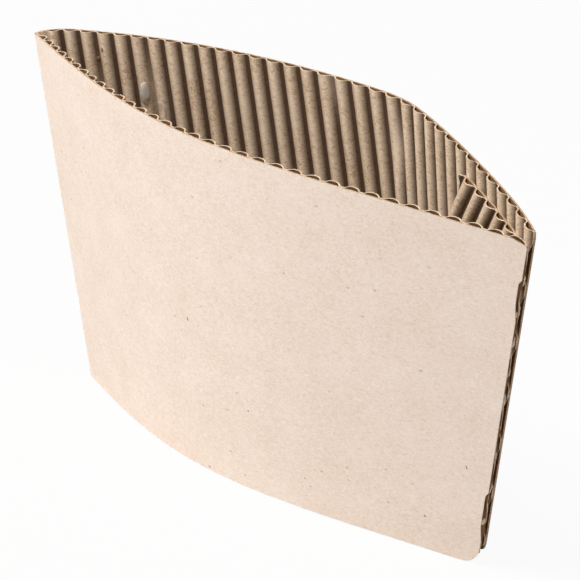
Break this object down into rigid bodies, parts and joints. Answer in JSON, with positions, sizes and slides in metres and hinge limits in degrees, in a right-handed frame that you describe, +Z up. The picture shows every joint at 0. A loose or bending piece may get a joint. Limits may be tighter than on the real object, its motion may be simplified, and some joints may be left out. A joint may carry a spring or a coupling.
{
  "type": "coffee cup sleeve",
  "caption": "Plain kraft corrugated cup sleeve, half open, wide rim up, with a folded edge and an inner glue flap.",
  "frame": {"origin": "middle of the bounding box on the surface that the sleeve stands on", "axes": "+X from the plain folded edge to the glued edge, +Z up, the front panel faces -Y"},
  "size_m": [0.117, 0.048, 0.0721],
  "materials": {
    "kraft_board": "matte"
  },
  "bodies": {
    "root": {"sleeve": "kraft_board"}
  },
  "joints": []
}
